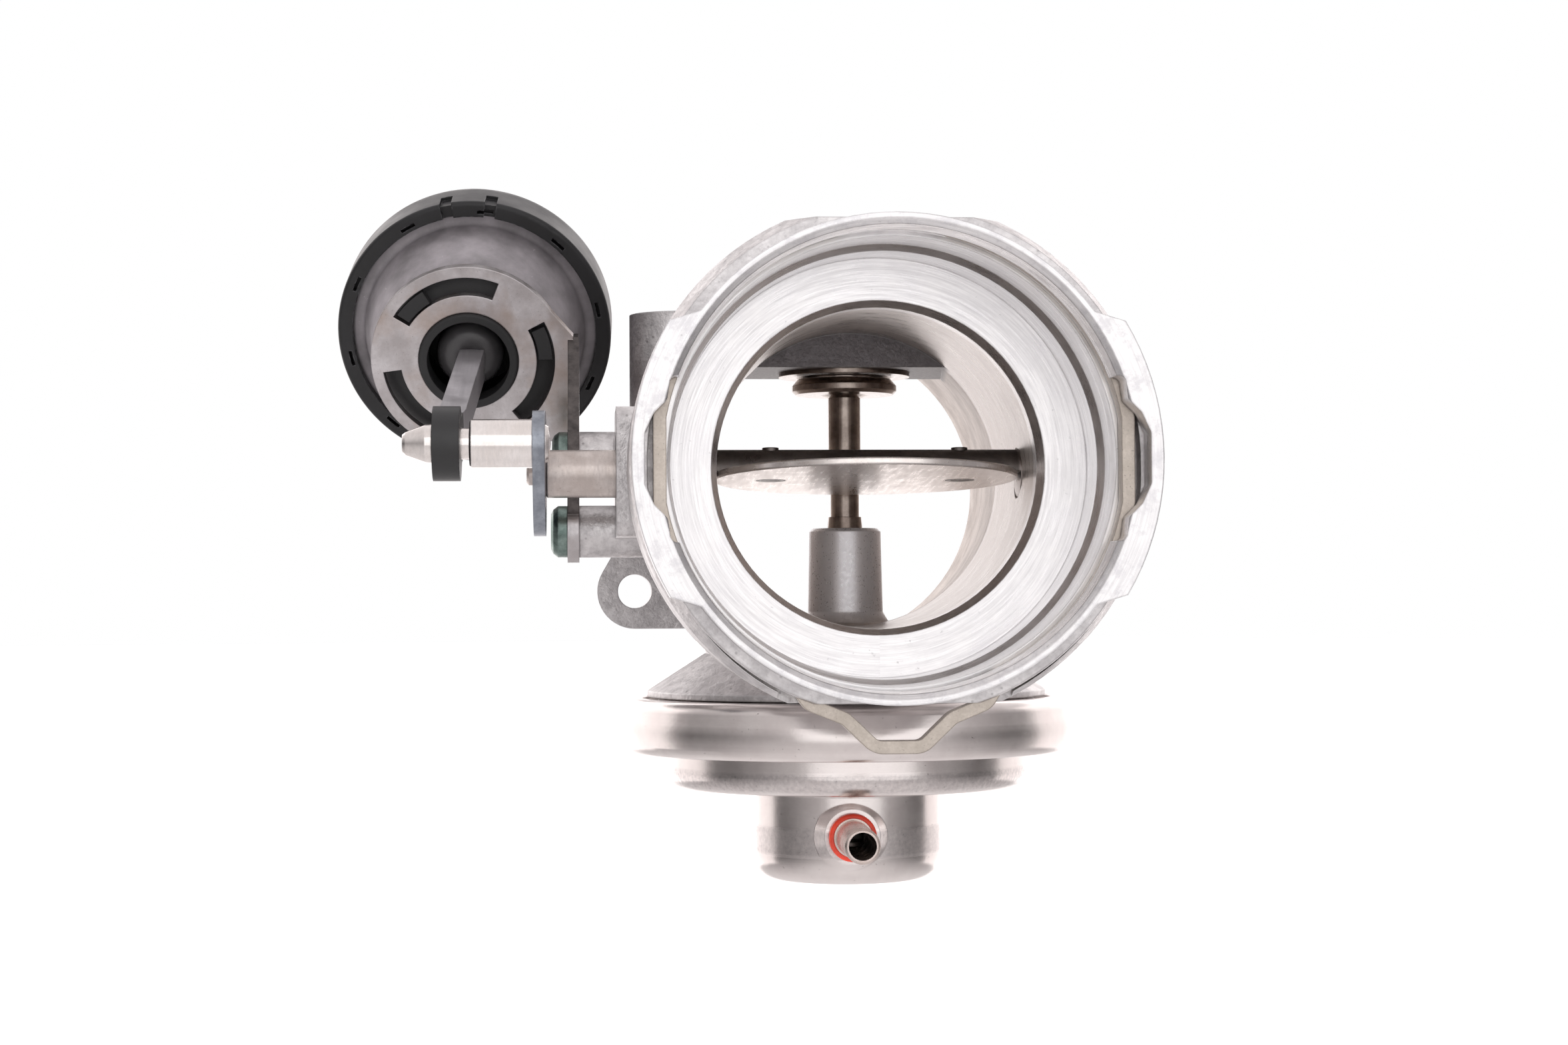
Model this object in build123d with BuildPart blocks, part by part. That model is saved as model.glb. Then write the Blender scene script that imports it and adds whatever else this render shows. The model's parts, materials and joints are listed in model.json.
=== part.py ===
"""Diesel intake throttle body: a vacuum-driven flap and a vacuum-driven exhaust-gas valve in one die casting.

Frame: origin at the bore centre on the manifold flange face, +Y from the hose collar to the manifold, +Z up.
Stations along the bore are y values; the vacuum can hangs below and the flap's actuator is on the -X side.
"""

from build123d import *
from math import asin, cos, degrees, radians, sin
import os

os.makedirs("parts", exist_ok=True)

# Bore, collar and duct
BORE_R = 26.0
DUCT_REAR_R = 29.5
SOCKET_R = 34.6
SOCKET_NOSE_R = 33.8
LIP_R = 35.4
FRONT_Y = -130.0
SHOULDER_Y = -101.0
DUCT_FLARE_Y = -54.0
COLLAR_R = 40.4
COLLAR_RING_R = 37.1
COLLAR_RING_LENGTH = 4.4
COLLAR_FLAT_Z = 36.9
LOBE_R = 40.2
LOBE_ANGLE = 31.0
COLLAR_REAR_Y = -98.0
DUCT_OUTER_R = 31.5

# Spring clip of the hose coupling, in its groove
CLIP_R = 36.4
CLIP_WIDTH = 2.0
CLIP_DEPTH = 3.0
CLIP_FRONT_Y = FRONT_Y + 5.4
CLIP_TRAVEL = 2.0
CLIP_SIDE_HALF = 6.5
CLIP_GAP_ANGLE = 14.0
GROOVE_R = 37.75
GROOVE_FRONT_Y = FRONT_Y + 5.1
GROOVE_LENGTH = 3.6

# Throttle shaft and flap
SHAFT_Y = -80.5
SHAFT_R = 4.0
SHAFT_LEFT_X = -53.6
SHAFT_RIGHT_X = 38.0
RUNNING_GAP = 0.05
FLAP_R = 25.6
FLAP_THICKNESS = 1.2
FLAP_TILT = 3.3
FLAP_SCREW_X = 16.0
PAD_X = -42.0

# Crank and its pin
LEVER_X = -55.6
LEVER_THICKNESS = 2.0
LEVER_BACK_X = LEVER_X + LEVER_THICKNESS
LEVER_R = 10.4
PIN_Y = SHAFT_Y - 10.0
PIN_Z = 4.5
PIN_R = 4.0
PIN_NECK_R = 2.565
EYE_X = -69.5
EYE_THICKNESS = 4.4
EYE_R = 6.12

# Vacuum actuator: the neck centre on the bracket's front face, and an axis that rises to the rear
NECK = Vector(-67.9, -46.0, 22.0)
ACTUATOR_TILT = 23.5
ACTUATOR_YAW = 2.0
ACTUATOR_R = 25.2
BRACKET_THICKNESS = 2.0
BRACKET_RING_R = 17.5
BRACKET_HOLE_R = 9.0
BRACKET_FOOT_X = -50.1
BRACKET_SCREWS = [(-53.0, 4.3), (-70.0, -9.4)]
SCREW_BOSS_R = 4.45

# Gas valve and vacuum can
STEM_Y = -44.6
STEM_R = 2.6
STEM_UPPER_R = 2.925
SEAT_R = 11.9
SEAT_Z = 19.1
BRIDGE_Z = 19.9
BRIDGE_HALF = 13.0
GUIDE_R = 6.5
GUIDE_TOP_Z = -8.4
GAS_FACE_Z = 30.3
GAS_PORT_R = 9.5
GAS_BOLT_X = 30.0
CASTING_BASE_Z = -38.5
SHEET = 1.2
CAN_RIM_R = 41.7
CAN_TIER_R = 33.3
CAN_CUP_R = 17.4
CAN_TIER_Z = -54.8
CAN_CUP_Z = -71.5
DIAPHRAGM_Z = -41.1
DIAPHRAGM_SHEET = 0.8
NIPPLE_X = -0.8
NIPPLE_Z = -62.7
NIPPLE_R = 3.05
NIPPLE_ROOT_R = 3.4
NIPPLE_BORE_R = 2.35
NIPPLE_TIP_Y = -80.5

# Manifold flange
FLANGE_THICKNESS = 8.0
FLANGE_BOLT_R = 43.3
FLANGE_CENTRE_Z = 2.15
FLANGE_HOLE_R = 3.3
EAR_R = 7.3
SEAL_GROOVE_R = (31.6, 34.0)
SEAL_GROOVE_DEPTH = 1.9

# Actuator directions: rearward along its axis, sideways across it, and upward at right angles to both
SIDEWAYS = Vector(cos(radians(ACTUATOR_YAW)), -sin(radians(ACTUATOR_YAW)), 0)
REARWARD = Vector(
    sin(radians(ACTUATOR_YAW)) * cos(radians(ACTUATOR_TILT)),
    cos(radians(ACTUATOR_YAW)) * cos(radians(ACTUATOR_TILT)),
    sin(radians(ACTUATOR_TILT)),
)
UPWARD = SIDEWAYS.cross(REARWARD)

# Section planes hold (radius, station) of turned forms, and each has its own turning axis
BORE_SECTION = Plane.XY
CAN_SECTION = Plane(origin=(0, STEM_Y, 0), x_dir=(1, 0, 0), z_dir=(0, -1, 0))
CAN_AXIS = Axis((0, STEM_Y, 0), (0, 0, 1))
SHAFT_SECTION = Plane(origin=(0, SHAFT_Y, 0), x_dir=(1, 0, 0), z_dir=(0, -1, 0))
SHAFT_AXIS = Axis((0, SHAFT_Y, 0), (1, 0, 0))
PIN_SECTION = Plane(origin=(0, PIN_Y, PIN_Z), x_dir=(1, 0, 0), z_dir=(0, -1, 0))
PIN_AXIS = Axis((0, PIN_Y, PIN_Z), (1, 0, 0))
ACTUATOR_AXIS = Axis(NECK, REARWARD)
BRACKET_PLANE = Plane(origin=NECK, x_dir=SIDEWAYS, z_dir=REARWARD * -1)
COLLAR_FACE = Plane.XZ.offset(-FRONT_Y)
FLAP_NORMAL = (0, sin(radians(FLAP_TILT)), cos(radians(FLAP_TILT)))
FLAP_PLANE = Plane(origin=(0, SHAFT_Y, 0), x_dir=(1, 0, 0), z_dir=FLAP_NORMAL)


def actuator_section(angle=0.0):
    """Plane through the actuator axis, its x radial at this angle above the horizontal and its y rearward."""
    radial = SIDEWAYS * cos(radians(angle)) + UPWARD * sin(radians(angle))
    return Plane(origin=NECK, x_dir=radial, z_dir=radial.cross(REARWARD))


def turned(points, section, axis, corners=0):
    """A closed outline of (radius, station) or (station, radius) points, turned about its axis."""
    with BuildPart() as form:
        with BuildSketch(section):
            with BuildLine():
                FilletPolyline(*points, radius=corners, close=True)
            make_face()
        revolve(axis=axis)
    return form


def on_circle(radius, angle):
    """Point on a circle about the sketch's origin, at this angle from its x axis."""
    return (radius * cos(radians(angle)), radius * sin(radians(angle)))


def ring_outline(inner, outer, low, high):
    """The rectangle that turns into a plain ring between two radii and two stations."""
    return [(inner, low), (outer, low), (outer, high), (inner, high)]


def sleeve_outline(low, high, inner, outer):
    """The rectangle that turns into a sleeve on a crosswise shaft, from one x to another."""
    return [(low, inner), (high, inner), (high, outer), (low, outer)]


# ---------------------------------------------------------------- housing casting
with BuildPart() as housing:
    with BuildSketch(BORE_SECTION):
        with BuildLine():
            Polyline(
                (0, FRONT_Y),
                (COLLAR_RING_R, FRONT_Y),
                (COLLAR_RING_R, FRONT_Y + COLLAR_RING_LENGTH),
                (COLLAR_R - 1.6, FRONT_Y + COLLAR_RING_LENGTH),
                (COLLAR_R, FRONT_Y + 9),
                (COLLAR_R, COLLAR_REAR_Y),
                (DUCT_OUTER_R + 1.5, COLLAR_REAR_Y + 9),
                (DUCT_OUTER_R, COLLAR_REAR_Y + 15),
                (DUCT_OUTER_R, -24),
                (DUCT_REAR_R + 6, -FLANGE_THICKNESS),
                (DUCT_REAR_R + 6, 0),
                (0, 0),
                close=True,
            )
        make_face()
    revolve(axis=Axis.Y)

    # Wrench flats above and below the collar, behind its turned ring
    with Locations(
        (0, (FRONT_Y + COLLAR_RING_LENGTH + COLLAR_REAR_Y + 9) / 2, COLLAR_FLAT_Z + 5),
        (0, (FRONT_Y + COLLAR_RING_LENGTH + COLLAR_REAR_Y + 9) / 2, -COLLAR_FLAT_Z - 5),
    ):
        Box(90, COLLAR_REAR_Y + 9 - FRONT_Y - COLLAR_RING_LENGTH, 10, mode=Mode.SUBTRACT)

    # Side lobes that carry the clip pockets, with sloped ends
    for side in (0, 180):
        with BuildSketch(COLLAR_FACE):
            with BuildLine():
                CenterArc((0, 0), LOBE_R, side - LOBE_ANGLE, 2 * LOBE_ANGLE)
                Polyline(
                    on_circle(LOBE_R, side - LOBE_ANGLE),
                    on_circle(COLLAR_RING_R - 0.2, side - LOBE_ANGLE - 6),
                    (0, 0),
                    on_circle(COLLAR_RING_R - 0.2, side + LOBE_ANGLE + 6),
                    on_circle(LOBE_R, side + LOBE_ANGLE),
                )
            make_face()
        extrude(amount=-COLLAR_RING_LENGTH - 1)

    # Manifold flange with three bolt ears
    with BuildSketch(Plane.XZ):
        with Locations((0, FLANGE_CENTRE_Z)):
            with PolarLocations(FLANGE_BOLT_R, 3, start_angle=90):
                Circle(EAR_R)
        make_hull()
        Circle(DUCT_REAR_R + 6)
    extrude(amount=FLANGE_THICKNESS)

    # Gas inlet flange on top, carried on two bolt columns
    with BuildSketch(Plane.XY.offset(GAS_FACE_Z)):
        with Locations((-GAS_BOLT_X, STEM_Y), (GAS_BOLT_X, STEM_Y)):
            Circle(9)
        with Locations((0, STEM_Y)):
            Circle(GAS_PORT_R + 6)
        make_hull()
    extrude(amount=-12)
    with BuildSketch(Plane.XY.offset(GAS_FACE_Z)):
        with Locations((-GAS_BOLT_X, STEM_Y), (GAS_BOLT_X, STEM_Y)):
            Circle(9)
    extrude(amount=-34)
    with Locations((0, STEM_Y, GAS_FACE_Z + 5)):
        Box(90, 60, 10, mode=Mode.SUBTRACT)

    # Shaft bosses and the two screw bosses under the actuator bracket
    with BuildSketch(Plane.YZ.offset(PAD_X)):
        with Locations((SHAFT_Y, 0)):
            RectangleRounded(22, 21.4, 2.5)
    extrude(amount=20)
    with BuildSketch(Plane.YZ.offset(PAD_X)):
        with Locations(*BRACKET_SCREWS):
            Circle(SCREW_BOSS_R)
        make_hull()
    extrude(amount=20)
    with BuildSketch(Plane.YZ.offset(BRACKET_FOOT_X + BRACKET_THICKNESS)):
        with Locations(*BRACKET_SCREWS):
            Circle(SCREW_BOSS_R)
    extrude(amount=20)
    with BuildSketch(Plane.YZ.offset(SHAFT_RIGHT_X + 1.5)):
        with Locations((SHAFT_Y, 0)):
            Circle(9.5)
    extrude(amount=-16)

    # Cone that spreads from the duct to the can
    with BuildSketch(CAN_SECTION):
        with BuildLine():
            Polyline((0, -20), (25.5, -20), (25.5, -30.8), (36, -37.5), (36, CASTING_BASE_Z),
                     (0, CASTING_BASE_Z), close=True)
        make_face()
    revolve(axis=CAN_AXIS)

    # Air way: socket for the hose coupling, throttle bore and flaring duct
    with BuildSketch(BORE_SECTION):
        with BuildLine():
            Polyline(
                (0, FRONT_Y - 1),
                (LIP_R + 0.9, FRONT_Y - 1),
                (LIP_R + 0.9, FRONT_Y),
                (LIP_R, FRONT_Y + 0.8),
                (LIP_R - 0.3, FRONT_Y + 5.2),
                (SOCKET_R, FRONT_Y + 8.6),
                (SOCKET_R, FRONT_Y + 17.8),
                (SOCKET_NOSE_R, FRONT_Y + 20.2),
                (SOCKET_NOSE_R, SHOULDER_Y),
                (BORE_R + 1.0, SHOULDER_Y),
                (BORE_R, SHOULDER_Y + 2.4),
                (BORE_R, DUCT_FLARE_Y),
                (DUCT_REAR_R, -12),
                (DUCT_REAR_R, 1),
                (0, 1),
                close=True,
            )
        make_face()
    revolve(axis=Axis.Y, mode=Mode.SUBTRACT)

    # Clip groove, long enough downwards for the clip to be pulled, and its way out through the lower flat
    with BuildSketch(Plane.XZ.offset(-GROOVE_FRONT_Y)):
        with Locations((0, 0), (0, -CLIP_TRAVEL)):
            Circle(GROOVE_R)
    extrude(amount=-GROOVE_LENGTH, mode=Mode.SUBTRACT)
    with Locations((0, GROOVE_FRONT_Y + GROOVE_LENGTH / 2, -38)):
        Box(36, GROOVE_LENGTH, 10, mode=Mode.SUBTRACT)

    # Pockets in the lip where the clip's straight sides can be seen and reached
    with BuildSketch(COLLAR_FACE):
        for side in (-1, 1):
            with BuildLine():
                FilletPolyline(
                    (side * 30, -12.5), (side * 34.3, -12.5), (side * 34.8, -8.9), (side * 36.8, -6.9),
                    (side * 38.2, -3.9), (side * 38.2, 3.9), (side * 36.8, 6.9), (side * 34.8, 8.9),
                    (side * 34.3, 12.5), (side * 30, 12.5), radius=1.1, close=True,
                )
            make_face()
    extrude(amount=-(GROOVE_FRONT_Y - FRONT_Y + 0.5), mode=Mode.SUBTRACT)

    # Gas bridge across the top of the duct and the stem guide boss on its floor
    with BuildSketch(Plane.XZ.offset(-STEM_Y + BRIDGE_HALF)):
        Circle(DUCT_OUTER_R - 1)
        with Locations((0, BRIDGE_Z - 50)):
            Rectangle(100, 100, mode=Mode.SUBTRACT)
    extrude(amount=-2 * BRIDGE_HALF)
    with BuildSketch(CAN_SECTION):
        with BuildLine():
            Polyline((0, GUIDE_TOP_Z), (GUIDE_R - 0.6, GUIDE_TOP_Z), (GUIDE_R, GUIDE_TOP_Z - 0.6),
                     (GUIDE_R + 0.3, -23.5), (GUIDE_R + 1.4, -25.4), (GUIDE_R + 4, -27),
                     (GUIDE_R + 4, -30), (0, -30), close=True)
        make_face()
    revolve(axis=CAN_AXIS)

    # Gas port, seat recess, stem guide bore, seal recess and the pocket over the diaphragm
    with BuildSketch(CAN_SECTION):
        with BuildLine():
            Polyline((0, BRIDGE_Z - 1), (SEAT_R, BRIDGE_Z - 1), (SEAT_R, SEAT_Z + 4),
                     (GAS_PORT_R, SEAT_Z + 4), (GAS_PORT_R, GAS_FACE_Z + 1), (0, GAS_FACE_Z + 1), close=True)
        make_face()
    revolve(axis=CAN_AXIS, mode=Mode.SUBTRACT)
    with BuildSketch(CAN_SECTION):
        with BuildLine():
            Polyline((0, GUIDE_TOP_Z + 1), (4, GUIDE_TOP_Z + 1), (4, -28.5), (5.5, -28.5), (5.5, -33),
                     (12, -33), (12, CASTING_BASE_Z - 1), (0, CASTING_BASE_Z - 1), close=True)
        make_face()
    revolve(axis=CAN_AXIS, mode=Mode.SUBTRACT)

    # Shaft bore with seats for the seal, the two bushes and the end plug
    with BuildSketch(SHAFT_SECTION):
        with BuildLine():
            Polyline((PAD_X - 1, 0), (PAD_X - 1, 6.5), (PAD_X + 3, 6.5), (PAD_X + 3, 5.5), (-30, 5.5),
                     (-30, 4.3), (30, 4.3), (30, 5.5), (SHAFT_RIGHT_X + 0.3, 5.5), (SHAFT_RIGHT_X + 0.3, 7),
                     (SHAFT_RIGHT_X + 2.5, 7), (SHAFT_RIGHT_X + 2.5, 0), close=True)
        make_face()
    revolve(axis=SHAFT_AXIS, mode=Mode.SUBTRACT)

    # Threaded holes for the bracket screws, the gas pipe and the can, and plain holes for the manifold studs
    with BuildSketch(Plane.YZ.offset(BRACKET_FOOT_X + BRACKET_THICKNESS)):
        with Locations(*BRACKET_SCREWS):
            Circle(2.25)
    extrude(amount=12, mode=Mode.SUBTRACT)
    with BuildSketch(Plane.XY.offset(GAS_FACE_Z)):
        with Locations((-GAS_BOLT_X, STEM_Y), (GAS_BOLT_X, STEM_Y)):
            Circle(3.4)
    extrude(amount=-18, mode=Mode.SUBTRACT)
    with BuildSketch(Plane.XY.offset(CASTING_BASE_Z)):
        with Locations((0, STEM_Y)):
            with PolarLocations(27, 4, start_angle=45):
                Circle(1.75)
    extrude(amount=5, mode=Mode.SUBTRACT)
    with BuildSketch(Plane.XZ):
        with Locations((0, FLANGE_CENTRE_Z)):
            with PolarLocations(FLANGE_BOLT_R, 3, start_angle=90):
                Circle(FLANGE_HOLE_R)
    extrude(amount=FLANGE_THICKNESS, mode=Mode.SUBTRACT)
    with BuildSketch(Plane.XZ):
        Circle(SEAL_GROOVE_R[1])
        Circle(SEAL_GROOVE_R[0], mode=Mode.SUBTRACT)
    extrude(amount=SEAL_GROOVE_DEPTH, mode=Mode.SUBTRACT)

flange_seal = turned(
    ring_outline(SEAL_GROOVE_R[0] + 0.1, SEAL_GROOVE_R[1] - 0.1, -SEAL_GROOVE_DEPTH, 0), BORE_SECTION, Axis.Y
)

# ---------------------------------------------------------------- hose coupling clip
CHORD_ANGLE = degrees(asin(CLIP_SIDE_HALF / CLIP_R))
EXIT_ANGLE = 63.0


# An open spring ring with flattened sides and a finger loop below
with BuildPart() as retaining_clip:
    with BuildSketch(Plane.XZ.offset(-CLIP_FRONT_Y)):
        with BuildLine():
            CenterArc((0, 0), CLIP_R, 90 + CLIP_GAP_ANGLE, 90 - CLIP_GAP_ANGLE - CHORD_ANGLE)
            Line(on_circle(CLIP_R, 180 - CHORD_ANGLE), on_circle(CLIP_R, 180 + CHORD_ANGLE))
            CenterArc((0, 0), CLIP_R, 180 + CHORD_ANGLE, EXIT_ANGLE - CHORD_ANGLE)
            FilletPolyline(
                on_circle(CLIP_R, 180 + EXIT_ANGLE),
                (-13.4, -37.0), (-7.9, -39.2), (-3.3, -43.6),
                (3.9, -43.6), (8.5, -39.2), (13.8, -37.0),
                on_circle(CLIP_R, -EXIT_ANGLE),
                radius=(2.6, 2.6, 2.8, 2.8, 2.6, 2.6),
            )
            CenterArc((0, 0), CLIP_R, -EXIT_ANGLE, EXIT_ANGLE - CHORD_ANGLE)
            Line(on_circle(CLIP_R, -CHORD_ANGLE), on_circle(CLIP_R, CHORD_ANGLE))
            CenterArc((0, 0), CLIP_R, CHORD_ANGLE, 90 - CLIP_GAP_ANGLE - CHORD_ANGLE)
            offset(amount=CLIP_WIDTH / 2)
        make_face()
    extrude(amount=-CLIP_DEPTH)

# ---------------------------------------------------------------- throttle shaft and flap
with BuildPart() as throttle_shaft:
    with BuildSketch(SHAFT_SECTION):
        with BuildLine():
            Polyline(
                (LEVER_X - 1.2, 0), (LEVER_X - 1.2, 1.5), (LEVER_X - 0.8, 1.9), (LEVER_X, 1.9), (LEVER_X, 3),
                (SHAFT_LEFT_X, 3), (SHAFT_LEFT_X, SHAFT_R - 0.3), (SHAFT_LEFT_X + 0.3, SHAFT_R),
                (SHAFT_RIGHT_X - 0.3, SHAFT_R), (SHAFT_RIGHT_X, SHAFT_R - 0.3), (SHAFT_RIGHT_X, 0),
                close=True,
            )
        make_face()
    revolve(axis=SHAFT_AXIS)
    # Milled half seat for the flap across the bore
    with BuildSketch(FLAP_PLANE):
        Rectangle(2 * FLAP_R + 0.5, 3 * SHAFT_R)
    extrude(amount=-2 * SHAFT_R, mode=Mode.SUBTRACT)
    with BuildSketch(FLAP_PLANE):
        with Locations((-FLAP_SCREW_X, 0), (FLAP_SCREW_X, 0)):
            Circle(1.5)
    extrude(amount=2 * SHAFT_R, mode=Mode.SUBTRACT)

def flap_screw_plane(side):
    """Plane of a flap screw's head, on the flap's underside and facing into it."""
    centre = FLAP_PLANE.from_local_coords((side * FLAP_SCREW_X, 0, -FLAP_THICKNESS))
    return Plane(origin=centre, x_dir=(1, 0, 0), z_dir=FLAP_PLANE.z_dir)


with BuildPart() as flap_plate:
    with BuildSketch(FLAP_PLANE):
        Circle(FLAP_R)
    extrude(amount=-FLAP_THICKNESS)
    chamfer(flap_plate.edges().filter_by(GeomType.CIRCLE), 0.25)
    for side in (-1, 1):
        with BuildSketch(flap_screw_plane(side)):
            Circle(2.6)
        with BuildSketch(flap_screw_plane(side).offset(FLAP_THICKNESS)):
            Circle(1.5)
        loft(mode=Mode.SUBTRACT)

with BuildPart() as flap_screws:
    for side in (-1, 1):
        head_plane = flap_screw_plane(side)
        with BuildSketch(head_plane):
            Circle(2.5)
        with BuildSketch(head_plane.offset(FLAP_THICKNESS)):
            Circle(1.4)
        loft()
        with BuildSketch(head_plane):
            Circle(1.4)
        extrude(amount=FLAP_THICKNESS + SHAFT_R + 0.3)
        with BuildSketch(head_plane):
            Rectangle(3.2, 0.6)
        extrude(amount=0.5, mode=Mode.SUBTRACT)

BUSH_BORE_R = SHAFT_R + RUNNING_GAP
shaft_seal = turned(sleeve_outline(PAD_X, PAD_X + 2.9, BUSH_BORE_R, 6.5), SHAFT_SECTION, SHAFT_AXIS)
shaft_bush_left = turned(sleeve_outline(PAD_X + 3, -30, BUSH_BORE_R, 5.5), SHAFT_SECTION, SHAFT_AXIS)
shaft_bush_right = turned(sleeve_outline(30, SHAFT_RIGHT_X, BUSH_BORE_R, 5.5), SHAFT_SECTION, SHAFT_AXIS)
shaft_end_plug = turned(
    [(SHAFT_RIGHT_X + 0.3, 0), (SHAFT_RIGHT_X + 0.3, 7), (SHAFT_RIGHT_X + 1.3, 7), (SHAFT_RIGHT_X + 1.3, 5),
     (SHAFT_RIGHT_X + 0.9, 4.5), (SHAFT_RIGHT_X + 0.9, 0)],
    SHAFT_SECTION, SHAFT_AXIS,
)

# ---------------------------------------------------------------- crank and its pin
with BuildPart() as crank_lever:
    with BuildSketch(Plane.YZ.offset(LEVER_X)):
        with Locations((SHAFT_Y, 0)):
            Circle(LEVER_R)
        with Locations((PIN_Y, PIN_Z)):
            Circle(5.4)
        make_hull()
        with Locations((SHAFT_Y, 0)):
            Circle(3, mode=Mode.SUBTRACT)
        with Locations((PIN_Y, PIN_Z)):
            Circle(2.6, mode=Mode.SUBTRACT)
    extrude(amount=LEVER_THICKNESS)

crank_pin = turned(
    [(-76.7, 0), (-76.7, 1.5), (-76.2, 1.9), (-73.0, 3.1), (-71.9, 3.2), (-71.9, PIN_NECK_R),
     (-65.8, PIN_NECK_R), (-65.8, PIN_R - 0.3), (-65.5, PIN_R), (LEVER_X, PIN_R), (LEVER_X, 2.6),
     (LEVER_BACK_X, 2.6), (LEVER_BACK_X, 3.2), (LEVER_BACK_X + 0.6, 2.9), (LEVER_BACK_X + 1, 0)],
    PIN_SECTION, PIN_AXIS,
)

# ---------------------------------------------------------------- vacuum actuator on its bracket
SLOT_ANGLES = (108, 228, 348)
SLOT_ARC = 80
TAB_TOP = 4.5
TAB_LOW = -15.0
TAB_END = BRACKET_FOOT_X + BRACKET_THICKNESS / 2 - NECK.X

with BuildPart() as actuator_bracket:
    with BuildSketch(BRACKET_PLANE):
        Circle(BRACKET_RING_R)
        with BuildLine():
            Polyline((0, 0), (11.8, 12.9), (TAB_END, TAB_TOP), (TAB_END, TAB_LOW), (6, -16.4), close=True)
        make_face()
    extrude(amount=-BRACKET_THICKNESS)
    bend_top = NECK + UPWARD * TAB_TOP
    bend_low = NECK + UPWARD * TAB_LOW
    bend_rear = bend_low + REARWARD * BRACKET_THICKNESS
    with BuildSketch(Plane.YZ.offset(BRACKET_FOOT_X)):
        with Locations(BRACKET_SCREWS[0]):
            Circle(6.2)
        with Locations(BRACKET_SCREWS[1]):
            Circle(5.3)
        with BuildLine():
            Polyline(
                (bend_top.Y, bend_top.Z), (bend_low.Y, bend_low.Z), (bend_rear.Y, bend_rear.Z),
                (bend_top.Y + 1.8, bend_top.Z + 0.8), close=True,
            )
        make_face()
        make_hull()
        with Locations(*BRACKET_SCREWS):
            Circle(2.6, mode=Mode.SUBTRACT)
    extrude(amount=BRACKET_THICKNESS)
    with BuildSketch(BRACKET_PLANE):
        Circle(BRACKET_HOLE_R)
    extrude(amount=-BRACKET_THICKNESS, mode=Mode.SUBTRACT)
    for angle in SLOT_ANGLES:
        with BuildSketch(actuator_section(angle + SLOT_ARC / 2)):
            with BuildLine():
                Polyline((12.2, -1), (15.5, -1), (15.5, BRACKET_THICKNESS + 1), (12.2, BRACKET_THICKNESS + 1),
                         close=True)
            make_face()
        revolve(axis=ACTUATOR_AXIS, revolution_arc=SLOT_ARC, mode=Mode.SUBTRACT)

with BuildPart() as bracket_screws:
    for y, z in BRACKET_SCREWS:
        screw_section = Plane(origin=(0, y, z), x_dir=(1, 0, 0), z_dir=(0, -1, 0))
        with BuildSketch(screw_section):
            with BuildLine():
                Polyline(
                    (BRACKET_FOOT_X - 2.8, 0), (BRACKET_FOOT_X - 2.8, 3.0), (BRACKET_FOOT_X - 2.4, 3.8),
                    (BRACKET_FOOT_X - 1.6, 4.4), (BRACKET_FOOT_X, 4.4), (BRACKET_FOOT_X, 2.2), (-37.0, 2.2),
                    (-36.4, 1.6), (-36.4, 0), close=True,
                )
            make_face()
        revolve(axis=Axis((0, y, z), (1, 0, 0)))
        with BuildSketch(Plane.YZ.offset(BRACKET_FOOT_X - 2.8)):
            with Locations((y, z)):
                RegularPolygon(2.2, 6)
        extrude(amount=1.6, mode=Mode.SUBTRACT)

# Front housing: neck through the bracket, domed shell and the flange that clamps the diaphragm
with BuildPart() as actuator_body:
    with BuildSketch(actuator_section()):
        with BuildLine():
            FilletPolyline(
                (7.4, -0.8), (8.9, -0.8), (8.9, 2), (16.4, 2), (20.5, 17.6), (23.7, 17.6), (23.7, 19.1),
                (19.2, 19.1), (15.4, 3.6), (7.4, 3.6),
                radius=(0, 0.4, 0, 5, 0.8, 0, 0, 0, 3.6, 0), close=True,
            )
        make_face()
    revolve(axis=ACTUATOR_AXIS)
    # Bayonet lugs that lock into the bracket's slots
    for angle in SLOT_ANGLES:
        with BuildSketch(actuator_section(angle + SLOT_ARC / 2 - 3)):
            with BuildLine():
                Polyline((12.6, 2.5), (12.6, -0.2), (15.1, -0.2), (15.1, 2.9), close=True)
            make_face()
        revolve(axis=ACTUATOR_AXIS, revolution_arc=24)

RIM_FRONT = 15.5
RIM_REAR = 27.3

with BuildPart() as actuator_cover:
    with BuildSketch(actuator_section()):
        with BuildLine():
            FilletPolyline(
                (22.4, RIM_FRONT), (ACTUATOR_R, RIM_FRONT), (ACTUATOR_R, RIM_REAR), (17, 33.8),
                (5, 36.4), (5, 40), (3.6, 40), (3.6, 35.4), (16.4, 32.3), (22.6, RIM_REAR - 0.6),
                (22.6, 20), (23.9, 20), (23.9, 17.4), (22.4, 17.4),
                radius=(0, 0.8, 7, 6, 0.8, 0.4, 0, 0, 4.6, 4.6, 0, 0, 0, 0), close=True,
            )
        make_face()
    revolve(axis=ACTUATOR_AXIS)
    # Snap windows round the rim
    for angle in range(15, 375, 36):
        with BuildSketch(actuator_section(angle)):
            with BuildLine():
                Polyline((23, RIM_FRONT - 1), (23.6, RIM_FRONT - 1), (23.6, RIM_FRONT + 2.5),
                         (23, RIM_FRONT + 2.5), close=True)
            make_face()
        revolve(axis=ACTUATOR_AXIS, revolution_arc=7, mode=Mode.SUBTRACT)
    # Keying notches on both sides of the top tab
    for angle in (103, 84):
        with BuildSketch(actuator_section(angle)):
            with BuildLine():
                Polyline((22, RIM_FRONT - 1), (27, RIM_FRONT - 1), (27, RIM_FRONT + 5), (24.5, RIM_FRONT + 5),
                         (24.5, RIM_FRONT + 1.2), (22, RIM_FRONT + 1.2), close=True)
            make_face()
        revolve(axis=ACTUATOR_AXIS, revolution_arc=5, mode=Mode.SUBTRACT)

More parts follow.
